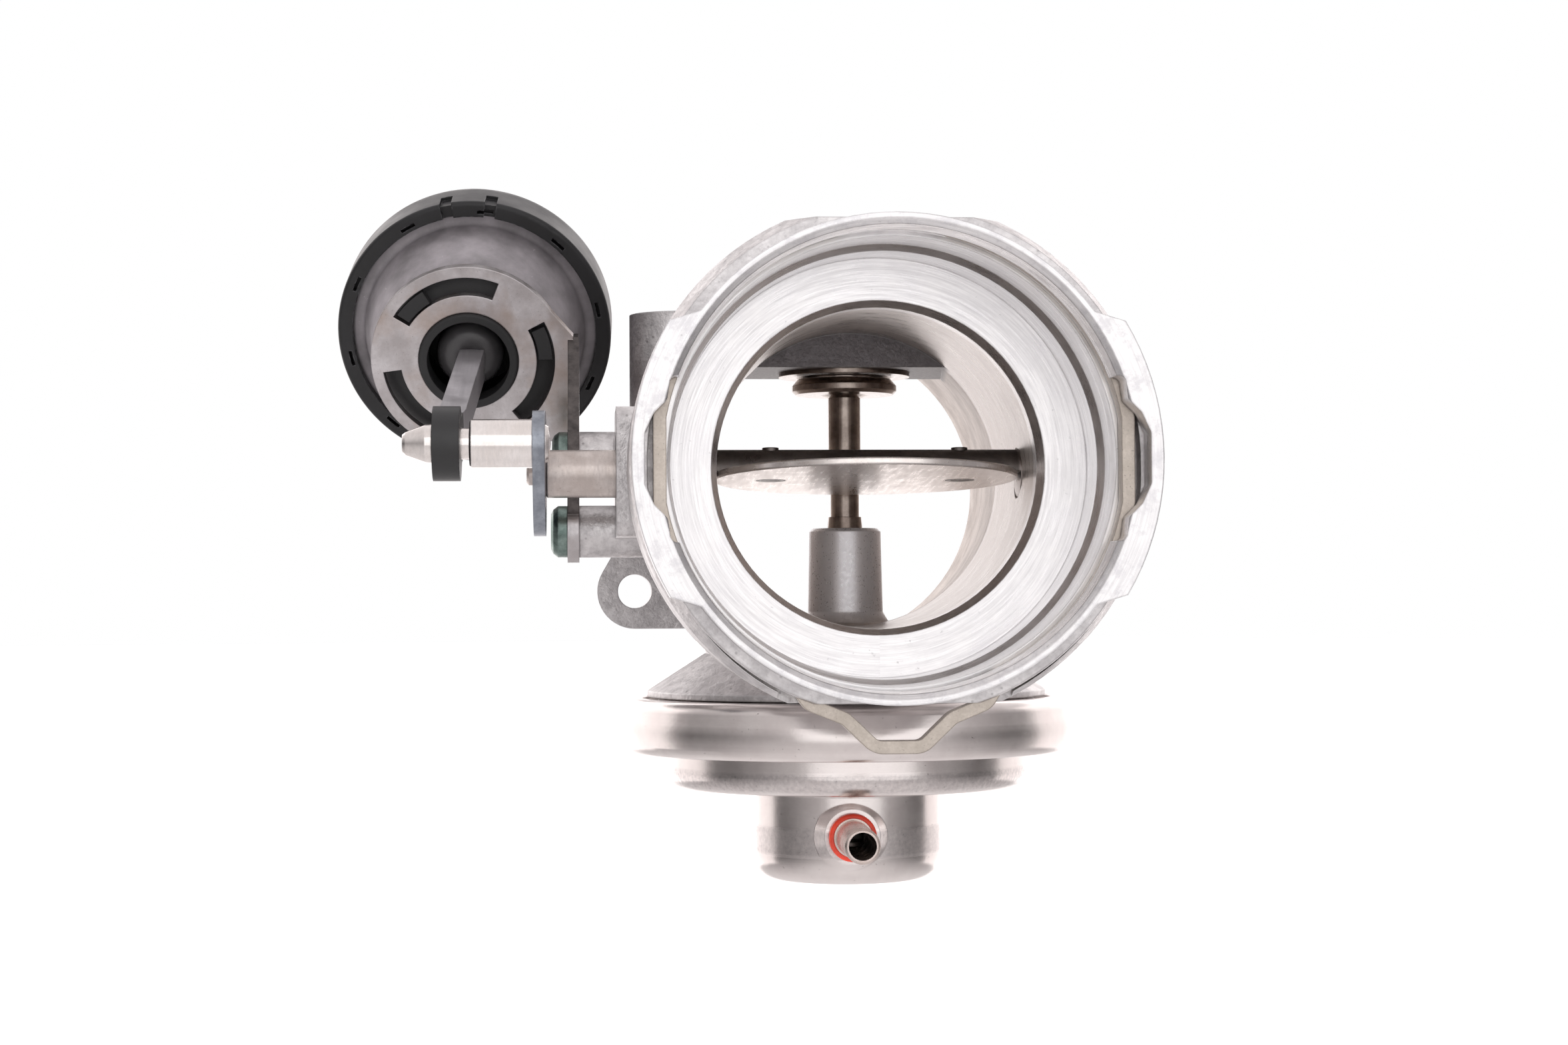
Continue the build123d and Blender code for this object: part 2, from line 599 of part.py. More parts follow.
actuator_nipple = turned(
    [(1.5, 34.6), (3.6, 34.6), (3.6, 41), (3.0, 41), (3.0, 49.2), (1.5, 49.2)],
    actuator_section(), ACTUATOR_AXIS, corners=(0, 0, 0.3, 0, 0.7, 0.3),
)
actuator_diaphragm = turned(
    [(14.6, 6.5), (15.8, 6.5), (18.6, 18.2), (18.6, 19.2), (23.7, 19.2), (23.7, 19.9), (17.9, 19.9),
     (17.8, 18.4), (15.2, 7.3), (14.6, 7.3)],
    actuator_section(), ACTUATOR_AXIS,
)
diaphragm_cup = turned(
    [(9.4, 5.2), (14.9, 5.2), (14.9, 6.4), (11, 6.4), (11, 18.4), (0, 18.4), (0, 16.6), (9.4, 16.6)],
    actuator_section(), ACTUATOR_AXIS,
)


def coil_spring(wire_r, coil_r, height, turns, base):
    """Round-wire compression spring standing on a base plane."""
    with BuildPart() as spring:
        with BuildLine():
            coil = Helix(pitch=height / turns, height=height, radius=coil_r)
        with BuildSketch(Plane(coil @ 0, z_dir=coil % 0)):
            Circle(wire_r)
        sweep(path=coil, is_frenet=True)
    spring.part = base.from_local_coords(spring.part)
    return spring


actuator_spring = coil_spring(0.8, 13.0, 24.2, 5.5, Plane(NECK + REARWARD * 7.3, z_dir=REARWARD))

# Flat rod from the crank pin's eye, through the neck and into the cup
EYE = Vector(EYE_X, PIN_Y, PIN_Z)
ROD_AIM = NECK + UPWARD * -1.1 + SIDEWAYS * 0.5
ROD_FORM = (ROD_AIM - EYE).normalized()
ROD_ACROSS = (Vector(1, 0, 0) - ROD_FORM * ROD_FORM.X).normalized()
ROD_PLANE = Plane(origin=EYE - ROD_ACROSS * (EYE_THICKNESS / 2), x_dir=ROD_FORM, z_dir=ROD_ACROSS)
EYE_PLANE = Plane.YZ.offset(EYE_X - EYE_THICKNESS / 2)
ROD_LENGTH = 63.0

with BuildPart() as actuator_rod:
    with BuildSketch(EYE_PLANE):
        with Locations((PIN_Y, PIN_Z)):
            Circle(EYE_R)
    extrude(amount=EYE_THICKNESS)
    with BuildSketch(ROD_PLANE):
        with BuildLine():
            Polyline((0, -3.9), (4.6, -3.9), (10.5, -2.75), (ROD_LENGTH, -2.75), (ROD_LENGTH, 2.75),
                     (10.5, 2.75), (4.6, 3.9), (0, 3.9), close=True)
        make_face()
    extrude(amount=EYE_THICKNESS)
    with BuildSketch(EYE_PLANE.offset(-1)):
        with Locations((PIN_Y, PIN_Z)):
            Circle(PIN_NECK_R + RUNNING_GAP)
    extrude(amount=EYE_THICKNESS + 2, mode=Mode.SUBTRACT)
    with BuildSketch(ROD_PLANE.offset(EYE_THICKNESS / 2 - 3.4)):
        with Locations((ROD_LENGTH - 1.2, 0)):
            Rectangle(2.4, 7)
    extrude(amount=6.8)

# ---------------------------------------------------------------- exhaust-gas valve
seat_ring = turned(
    [(8.8, SEAT_Z), (SEAT_R, SEAT_Z), (SEAT_R, SEAT_Z + 4), (7.8, SEAT_Z + 4), (7.8, SEAT_Z + 1)],
    CAN_SECTION, CAN_AXIS,
)
valve_head = turned(
    [(STEM_UPPER_R, 15.3), (4.4, 15.8), (8.9, 15.9), (9.5, 16.5), (9.5, 17.5), (8.5, 18.7),
     (STEM_UPPER_R, 18.7)],
    CAN_SECTION, CAN_AXIS,
)
valve_stem = turned(
    [(0, 19.4), (2.2, 19.4), (STEM_UPPER_R, 18.7), (STEM_UPPER_R, 3), (STEM_R, 2.4), (STEM_R, -47.2),
     (2.1, -47.8), (0, -47.8)],
    CAN_SECTION, CAN_AXIS,
)
stem_guide_bush = turned(
    [(STEM_R + RUNNING_GAP, -6.3), (3.0, -6.3), (3.2, -8.4), (4, -8.4), (4, -27.5),
     (STEM_R + RUNNING_GAP, -27.5)],
    CAN_SECTION, CAN_AXIS,
)
stem_seal = turned(ring_outline(STEM_R + 0.06, 5.5, -32.4, -28.5), CAN_SECTION, CAN_AXIS)

# ---------------------------------------------------------------- vacuum can
def nipple_plane(reach):
    """Plane across the nipple, this far in front of the can's axis and facing its tip."""
    return Plane(origin=(NIPPLE_X, STEM_Y - reach, NIPPLE_Z), x_dir=(1, 0, 0), z_dir=(0, -1, 0))


with BuildPart() as can_upper_shell:
    with BuildSketch(CAN_SECTION):
        with BuildLine():
            Polyline((10, CASTING_BASE_Z), (33, CASTING_BASE_Z), (35, DIAPHRAGM_Z + SHEET),
                     (38.6, DIAPHRAGM_Z + SHEET), (38.6, DIAPHRAGM_Z), (34.3, DIAPHRAGM_Z),
                     (32.4, CASTING_BASE_Z - SHEET), (10, CASTING_BASE_Z - SHEET), close=True)
        make_face()
    revolve(axis=CAN_AXIS)
    with BuildSketch(Plane.XY.offset(CASTING_BASE_Z)):
        with Locations((0, STEM_Y)):
            with PolarLocations(27, 4, start_angle=45):
                Circle(2.2)
            with PolarLocations(18, 6):
                Circle(1.5)
    extrude(amount=-SHEET, mode=Mode.SUBTRACT)

with BuildPart() as can_screws:
    with BuildSketch(Plane.XY.offset(CASTING_BASE_Z - SHEET)):
        with Locations((0, STEM_Y)):
            with PolarLocations(27, 4, start_angle=45):
                Circle(3.4)
    extrude(amount=-1.0)
    with BuildSketch(Plane.XY.offset(CASTING_BASE_Z - SHEET)):
        with Locations((0, STEM_Y)):
            with PolarLocations(27, 4, start_angle=45):
                Circle(1.7)
    extrude(amount=5.5)

can_crimp_ring = turned(
    [(36.9, -38.7), (40.6, -38.7), (41.9, -44.5), (41.0, -48.3), (33.5, -48.7), (33.5, -47.6), (39.9, -47.2),
     (40.6, -44.5), (39.5, -39.9), (36.9, -39.9)],
    CAN_SECTION, CAN_AXIS, corners=(0.3, 2.4, 8, 2.2, 0, 0, 1.2, 6.5, 1.2, 0),
)

SHELF_Z = DIAPHRAGM_Z - DIAPHRAGM_SHEET
with BuildPart() as can_lower_shell:
    with BuildSketch(CAN_SECTION):
        with BuildLine():
            FilletPolyline(
                (CAN_TIER_R - SHEET, SHELF_Z), (38.6, SHELF_Z), (38.6, SHELF_Z - SHEET),
                (CAN_TIER_R, SHELF_Z - SHEET), (CAN_TIER_R, CAN_TIER_Z), (CAN_CUP_R, CAN_TIER_Z),
                (CAN_CUP_R, CAN_CUP_Z), (0, CAN_CUP_Z), (0, CAN_CUP_Z + SHEET),
                (CAN_CUP_R - SHEET, CAN_CUP_Z + SHEET),
                (CAN_CUP_R - SHEET, CAN_TIER_Z + SHEET), (CAN_TIER_R - SHEET, CAN_TIER_Z + SHEET),
                radius=(0, 0, 0, 0.8, 3.0, 1.2, 4.6, 0, 0, 3.4, 2.4, 1.8), close=True,
            )
        make_face()
    revolve(axis=CAN_AXIS)
    # Raised collar round the nipple hole
    with BuildSketch(nipple_plane(CAN_CUP_R + 1.2)):
        Circle(4.9)
    with BuildSketch(nipple_plane(CAN_CUP_R - 1.2)):
        Circle(6.6)
    loft()
    with BuildSketch(nipple_plane(10)):
        Circle(NIPPLE_ROOT_R)
    extrude(amount=14, mode=Mode.SUBTRACT)

with BuildPart() as can_nipple:
    with BuildSketch(nipple_plane(CAN_CUP_R - 2.4)):
        Circle(NIPPLE_ROOT_R)
    extrude(amount=5.2)
    with BuildSketch(nipple_plane(CAN_CUP_R)):
        Circle(NIPPLE_R)
    extrude(amount=STEM_Y - CAN_CUP_R - NIPPLE_TIP_Y)
    with BuildSketch(nipple_plane(CAN_CUP_R - 2.4)):
        Circle(NIPPLE_BORE_R)
    extrude(amount=30, mode=Mode.SUBTRACT)
    chamfer(can_nipple.edges().filter_by(GeomType.CIRCLE).group_by(Axis.Y)[0].sort_by(SortBy.RADIUS)[-1], 0.4)

with BuildPart() as nipple_seal_ring:
    with BuildSketch(nipple_plane(CAN_CUP_R + 1.2)):
        Circle(4.2)
        Circle(NIPPLE_ROOT_R, mode=Mode.SUBTRACT)
    extrude(amount=1.6)
    fillet(nipple_seal_ring.edges().group_by(Axis.Y)[0].sort_by(SortBy.RADIUS)[-1], 0.6)

can_diaphragm = turned(ring_outline(STEM_R + RUNNING_GAP, 38.5, SHELF_Z, DIAPHRAGM_Z), CAN_SECTION, CAN_AXIS)
diaphragm_plate_upper = turned(ring_outline(STEM_R, 22, DIAPHRAGM_Z, DIAPHRAGM_Z + 1), CAN_SECTION, CAN_AXIS)
diaphragm_plate_lower = turned(ring_outline(STEM_R, 24, SHELF_Z - SHEET, SHELF_Z), CAN_SECTION, CAN_AXIS)

NUT_TOP_Z = SHELF_Z - SHEET
with BuildPart() as stem_nut:
    with BuildSketch(Plane.XY.offset(NUT_TOP_Z)):
        with Locations((0, STEM_Y)):
            RegularPolygon(4.6, 6)
            Circle(STEM_R, mode=Mode.SUBTRACT)
    extrude(amount=-3.0)

SPRING_BASE_Z = CAN_CUP_Z + SHEET + 0.9
can_spring = coil_spring(
    0.9, 11.5, NUT_TOP_Z - 1 - SPRING_BASE_Z, 5.5, Plane((0, STEM_Y, SPRING_BASE_Z), z_dir=(0, 0, 1))
)

PIECES = {
    "housing": housing,
    "flange_seal": flange_seal,
    "retaining_clip": retaining_clip,
    "throttle_shaft": throttle_shaft,
    "flap_plate": flap_plate,
    "flap_screws": flap_screws,
    "shaft_seal": shaft_seal,
    "shaft_bush_left": shaft_bush_left,
    "shaft_bush_right": shaft_bush_right,
    "shaft_end_plug": shaft_end_plug,
    "crank_lever": crank_lever,
    "crank_pin": crank_pin,
    "actuator_bracket": actuator_bracket,
    "bracket_screws": bracket_screws,
    "actuator_body": actuator_body,
    "actuator_cover": actuator_cover,
    "actuator_nipple": actuator_nipple,
    "actuator_diaphragm": actuator_diaphragm,
    "diaphragm_cup": diaphragm_cup,
    "actuator_spring": actuator_spring,
    "actuator_rod": actuator_rod,
    "seat_ring": seat_ring,
    "valve_head": valve_head,
    "valve_stem": valve_stem,
    "stem_guide_bush": stem_guide_bush,
    "stem_seal": stem_seal,
    "can_upper_shell": can_upper_shell,
    "can_screws": can_screws,
    "can_crimp_ring": can_crimp_ring,
    "can_lower_shell": can_lower_shell,
    "can_nipple": can_nipple,
    "nipple_seal_ring": nipple_seal_ring,
    "can_diaphragm": can_diaphragm,
    "diaphragm_plate_upper": diaphragm_plate_upper,
    "diaphragm_plate_lower": diaphragm_plate_lower,
    "stem_nut": stem_nut,
    "can_spring": can_spring,
}
for name, piece in PIECES.items():
    piece.part.label = name
    export_step(piece.part, f"parts/{name}.step")
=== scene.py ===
"""The looks of the diesel throttle body: materials, inner pieces copied or made anew, studio and camera."""

import json
import math

import bmesh
import bpy
from mathutils import Matrix, Vector


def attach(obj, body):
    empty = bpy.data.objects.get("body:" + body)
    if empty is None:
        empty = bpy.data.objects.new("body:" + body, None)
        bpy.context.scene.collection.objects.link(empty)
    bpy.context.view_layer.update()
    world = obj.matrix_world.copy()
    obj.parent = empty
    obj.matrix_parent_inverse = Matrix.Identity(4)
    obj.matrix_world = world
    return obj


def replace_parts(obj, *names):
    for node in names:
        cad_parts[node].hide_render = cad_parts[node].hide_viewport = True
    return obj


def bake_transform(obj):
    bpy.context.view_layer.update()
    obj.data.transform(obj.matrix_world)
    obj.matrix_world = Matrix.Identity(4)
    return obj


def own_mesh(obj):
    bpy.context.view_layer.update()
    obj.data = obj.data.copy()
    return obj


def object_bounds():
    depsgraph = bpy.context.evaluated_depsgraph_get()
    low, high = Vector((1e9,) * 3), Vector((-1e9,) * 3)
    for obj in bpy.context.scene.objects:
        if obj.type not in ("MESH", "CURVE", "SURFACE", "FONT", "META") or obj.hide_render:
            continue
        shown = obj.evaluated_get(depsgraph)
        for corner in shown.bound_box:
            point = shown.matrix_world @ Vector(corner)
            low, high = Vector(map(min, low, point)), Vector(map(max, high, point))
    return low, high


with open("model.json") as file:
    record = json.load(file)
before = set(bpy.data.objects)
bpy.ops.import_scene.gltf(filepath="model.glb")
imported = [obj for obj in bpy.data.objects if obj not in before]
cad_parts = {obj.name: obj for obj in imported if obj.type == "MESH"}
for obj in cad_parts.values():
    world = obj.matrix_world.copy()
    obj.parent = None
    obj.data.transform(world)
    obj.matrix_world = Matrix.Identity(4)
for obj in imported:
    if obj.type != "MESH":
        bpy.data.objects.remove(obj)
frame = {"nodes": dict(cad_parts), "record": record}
cad_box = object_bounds()
nodes = frame["nodes"]

MM = 0.001
MICRON = 0.000001

# ---------------------------------------------------------------- places on the part, in metres
BORE_AXIS = ("Y", (0, 0, 0))
CAN_AXIS = ("Z", (0, -44.6 * MM, 0))
SHAFT_AXIS = ("X", (0, -80.5 * MM, 0))
PIN_AXIS = ("X", (0, -90.5 * MM, 4.5 * MM))
NIPPLE_AXIS = ("Y", (-0.8 * MM, 0, -62.7 * MM))

# Housing: collar ring, hose socket, throttle bore and duct, front to back
RING_REAR_Y = -125.65 * MM
SOCKET_R = 35.5 * MM
SOCKET_REAR_Y = -98.4 * MM
LIP_R = 27.45 * MM
LIP_FRONT_Y = -98.7 * MM
LIP_REAR_Y = -95.8 * MM
BORE_WALL_FRONT_Y = -97.6 * MM
BORE_WALL_R = 25.75 * MM
THROAT_R = 26.25 * MM
THROAT_REAR_Y = -56.0 * MM
DUCT_WALL_R = 30.2 * MM
BAND_FRONT_Y = -79.0 * MM
BAND_REAR_Y = -64.0 * MM

# Housing: gas inlet face and actuator pads. A machined face is the skin this deep on each side of its plane
GAS_FACE_Z = 30.3 * MM
GAS_FLANGE_FRONT_Y = -60.2 * MM
GAS_FLANGE_REAR_Y = -29.0 * MM
PAD_FACE_X = -42.0 * MM
FACE_SKIN = 0.15 * MM

# Housing: the bridge across the top of the duct that holds the valve seat, and the stem's boss on its floor
BRIDGE_R = 31.5 * MM
BRIDGE_LOW_Z = 19.4 * MM
BRIDGE_HIGH_Z = 29.6 * MM
BRIDGE_FRONT_Y = -58.0 * MM
BRIDGE_REAR_Y = -31.2 * MM
BOSS_R = 7.6 * MM
BOSS_TOP_Z = -5.0 * MM
BOSS_FOOT_Z = -27.0 * MM

# Vacuum can: the burnished bands round its cup and round its upper tier
CUP_BAND_TOP_Z = -61.6 * MM
CUP_BAND_FOOT_Z = -66.4 * MM
TIER_BAND_TOP_Z = -50.9 * MM
TIER_BAND_FOOT_Z = -54.2 * MM

# Actuator, its rod and bracket, and the part of the shaft inside the bore that gets painted shade
NECK = (-67.9 * MM, -46.0 * MM, 22.0 * MM)
ACTUATOR_WAY = (0.03200, 0.91651, 0.39875)
HUB_R = 16.4 * MM
DISH_R = 22.3 * MM
ROD_EYE_R = 6.5 * MM
FOOT_LEFT_X = -51.5 * MM
SHADED_SHAFT_HALF_WIDTH = 25.8 * MM

# ---------------------------------------------------------------- colours of the larger pieces, linear
CAST_DARK = (0.54, 0.52, 0.525)
CAST_PALE = (0.80, 0.78, 0.78)
CAST_STAIN = (0.38, 0.365, 0.37)
CAST_PIT = (0.14, 0.13, 0.135)
CAST_WORN = (0.86, 0.85, 0.85)
DUCT_DARK = (0.40, 0.35, 0.32)
DUCT_PALE = (0.60, 0.54, 0.50)
DUCT_BAND = (0.32, 0.27, 0.25)
BOSS_SKIN = (0.78, 0.775, 0.80)
# Painted shade: the bridge face inside the duct is coloured near black for the shade there
BRIDGE_PAINTED_SHADE = (0.13, 0.12, 0.125)
TURNED_DARK = (0.78, 0.77, 0.78)
TURNED_PALE = (0.93, 0.92, 0.92)
TURNED_LINE = (0.60, 0.59, 0.60)
TURNED_NICK = (0.34, 0.33, 0.34)
RING_MOTTLE = (0.64, 0.63, 0.65)
MILLED_DARK = (0.50, 0.49, 0.50)
MILLED_PALE = (0.72, 0.71, 0.715)
BORE_DARK = (0.50, 0.45, 0.42)
BORE_PALE = (0.68, 0.63, 0.60)
BORE_LIP = (0.80, 0.77, 0.765)
CAN_DARK = (0.76, 0.70, 0.685)
CAN_PALE = (0.86, 0.81, 0.79)
CAN_SHADE = (0.62, 0.57, 0.56)
CAN_BURNISH = (0.48, 0.45, 0.45)
CAN_SPOT = (0.25, 0.23, 0.22)
CAN_WORN = (0.92, 0.89, 0.87)
ROD_FLOW = (0.11, 0.105, 0.112)
ROD_EYE = (0.010, 0.010, 0.011)
HUB_BLACK = (0.011, 0.011, 0.012)
# The bracket's cut edges: partly dull sheared steel, partly painted shade
SHEARED_EDGE_SHADE_DARK = (0.055, 0.050, 0.050)
SHEARED_EDGE_SHADE_PALE = (0.15, 0.135, 0.13)
BRACKET_RUST = (0.42, 0.33, 0.28)
# Painted shade: the shaft is coloured dark inside the bore, where the collar shades it
SHAFT_PAINTED_SHADE = (0.085, 0.076, 0.072)


# ---------------------------------------------------------------- building blocks for node materials
class Finish:
    """A Principled material built from small steps. A step's value is a socket or a plain number."""

    def __init__(self, name, color, metallic, roughness, **fixed):
        self.material = bpy.data.materials.new(name)
        self.material.use_nodes = True
        self.tree = self.material.node_tree
        self.shader = self.tree.nodes["Principled BSDF"]
        self.shader.inputs["Base Color"].default_value = (*color, 1)
        self.shader.inputs["Metallic"].default_value = metallic
        self.shader.inputs["Roughness"].default_value = roughness
        for socket, value in fixed.items():
            self.shader.inputs[socket.replace("_", " ")].default_value = value
        self.material.diffuse_color = (*color, 1)
        self.place = self.node("TexCoord").outputs["Object"]
        self.normal = None

    def node(self, kind, values=(), **settings):
        """A new node with its settings, and its inputs set or linked by place or by name."""
        made = self.tree.nodes.new("ShaderNode" + kind)
        for key, value in settings.items():
            setattr(made, key, value)
        for key, value in dict(values).items():
            if isinstance(value, bpy.types.NodeSocket):
                self.tree.links.new(value, made.inputs[key])
            else:
                made.inputs[key].default_value = value
        return made

    def math(self, operation, a, b=0.0, c=0.0):
        return self.node("Math", {0: a, 1: b, 2: c}, operation=operation).outputs[0]

    def split(self, vector):
        """The x, y and z sockets of a vector."""
        return self.node("SeparateXYZ", {0: vector}).outputs

    def axes(self):
        """The x, y and z sockets of the place on the part."""
        return self.split(self.place)

    def facing(self):
        """The way the mesh itself faces, whatever its shading does."""
        return self.node("NewGeometry").outputs["True Normal"]

    def step(self, value, edge, soft=0.08 * MM, below=False):
        """1 above the edge, or below it, with a soft change this far to each side."""
        ends = (1.0, 0.0) if below else (0.0, 1.0)
        return self.node(
            "MapRange", {0: value, 1: edge - soft, 2: edge + soft, 3: ends[0], 4: ends[1]}
        ).outputs[0]

    def all_of(self, *masks):
        total = masks[0]
        for mask in masks[1:]:
            total = self.math("MULTIPLY", total, mask)
        return total

    def any_of(self, *masks):
        total = masks[0]
        for mask in masks[1:]:
            total = self.math("MAXIMUM", total, mask)
        return total

    def opposite(self, mask):
        return self.math("SUBTRACT", 1.0, mask)

    def round_place(self, axis, round_scale=0.001):
        """Radius, distance along the axis and a little of the angle, for marks that run round a piece."""
        letter, centre = axis
        moved = self.node("VectorMath", {0: self.place, 1: centre}, operation="SUBTRACT").outputs[0]
        x, y, z = self.split(moved)
        across, run = {"X": ((y, z), x), "Y": ((x, z), y), "Z": ((x, y), z)}[letter]
        radius = self.math("SQRT", self.math("ADD", self.math("MULTIPLY", across[0], across[0]),
                                             self.math("MULTIPLY", across[1], across[1])))
        angle = self.math("MULTIPLY", self.math("ARCTAN2", across[0], across[1]), round_scale)
        return self.node("CombineXYZ", {0: radius, 1: run, 2: angle}).outputs[0]

    def noise(self, scale, detail=3.0, rough=0.55, place=None, stretch=None):
        """Noise from 0 to 1. Its scale is in features per metre, and stretch squeezes it along an axis."""
        vector = place or self.place
        if stretch:
            vector = self.node("VectorMath", {0: vector, 1: stretch}, operation="MULTIPLY").outputs[0]
        return self.node(
            "TexNoise", {"Vector": vector, "Scale": scale, "Detail": detail, "Roughness": rough}
        ).outputs[0]

    def between(self, value, low, high, start=0.3, end=0.7):
        """The value between start and end moved to low and high."""
        return self.node("MapRange", {0: value, 1: start, 2: end, 3: low, 4: high}).outputs[0]

    def blend(self, factor, a, b):
        """Colour a where the factor is 0 and colour b where it is 1."""
        made = self.node("Mix", data_type="RGBA", blend_type="MIX")
        for socket, value in ((0, factor), (6, a), (7, b)):
            if isinstance(value, bpy.types.NodeSocket):
                self.tree.links.new(value, made.inputs[socket])
            elif socket == 0:
                made.inputs[0].default_value = value
            else:
                made.inputs[socket].default_value = (*value, 1)
        return made.outputs[2]

    def bump(self, height, depth):
        """Adds relief of this depth in metres on top of what is there."""
        values = {"Strength": 1.0, "Distance": depth, "Height": height}
        if self.normal:
            values["Normal"] = self.normal
        self.normal = self.node("Bump", values).outputs[0]

    def edges(self, width):
        """Rounds the look of every sharp edge, and gives a mask that is 1 on them."""
        rounded = self.node("Bevel", {"Radius": width}, samples=4).outputs[0]
        flat = self.node("NewGeometry").outputs["Normal"]
        turn = self.node("VectorMath", {0: rounded, 1: flat}, operation="DOT_PRODUCT").outputs["Value"]
        self.normal = rounded
        return self.between(turn, 1.0, 0.0, start=0.80, end=0.995)

    def set(self, socket, value):
        self.tree.links.new(value, self.shader.inputs[socket])

    def tint(self):
        """The colour as it is linked so far."""
        return self.shader.inputs["Base Color"].links[0].from_socket

    def done(self):
        if self.normal:
            self.set("Normal", self.normal)
        return self.material


def brushed(name, color, dark, roughness, axis=None, edge=0.25 * MM, lines=2600, line_depth=6 * MICRON,
            stain=260, stretch=None, spread=0.10, edge_color=None, specks=0.5):
    """Worked metal: fine lines round its axis or along it, cloudy stains, dust pits and bright worn edges."""
    f = Finish(name, color, 1.0, roughness)
    worn = f.edges(edge)
    if axis:
        line = f.noise(lines, 4.0, 0.65, place=f.round_place(axis))
    else:
        line = f.noise(lines, 4.0, 0.65, stretch=stretch or (1, 1, 1))
    cloud = f.noise(stain, 5.0, 0.6)
    speck = f.noise(3400, 2.0, 0.5)
    bright = edge_color or tuple(min(1, 1.2 * c) for c in color)
    tint = f.blend(f.between(cloud, 0.0, 1.0, 0.38, 0.66), dark, color)
    tint = f.blend(f.between(line, 0.0, 0.35, 0.35, 0.7), tint, tuple(0.72 * c for c in color))
    tint = f.blend(f.between(speck, 0.0, specks, 0.66, 0.76), tint, tuple(0.35 * c for c in dark))
    f.set("Base Color", f.blend(f.math("MULTIPLY", worn, 0.75), tint, bright))
    uneven = f.math("ADD", f.math("MULTIPLY", cloud, 0.5), f.math("MULTIPLY", line, 0.5))
    f.set("Roughness", f.between(uneven, roughness - spread, roughness + spread, 0.35, 0.65))
    f.bump(line, line_depth)
    f.bump(cloud, line_depth * 4)
    return f


def moulded(name, color, roughness, grain=2400, specular=0.5, scuff=(0.20, 0.20, 0.21)):
    """Moulded plastic or rubber: fine grain, flow marks, pale scuffs on its edges."""
    f = Finish(name, color, 0.0, roughness, Specular_IOR_Level=specular)
    worn = f.edges(0.3 * MM)
    fine = f.noise(grain, 2.0, 0.5)
    flow = f.noise(140, 4.0, 0.6)
    scratch = f.noise(900, 5.0, 0.75, stretch=(1, 0.12, 1))
    scratched = tuple(min(1, 3 * c + 0.02) for c in color)
    tint = f.blend(f.between(flow, 0.0, 1.0), tuple(0.75 * c for c in color), tuple(1.5 * c for c in color))
    tint = f.blend(f.between(scratch, 0.0, 0.5, 0.66, 0.74), tint, scratched)
    scuffed = f.math("MULTIPLY", worn, f.between(scratch, 0.0, 0.6, 0.45, 0.6))
    f.set("Base Color", f.blend(scuffed, tint, scuff))
    f.set("Roughness", f.between(flow, roughness - 0.06, roughness + 0.08))
    f.bump(fine, 10 * MICRON)
    f.bump(flow, 30 * MICRON)
    return f


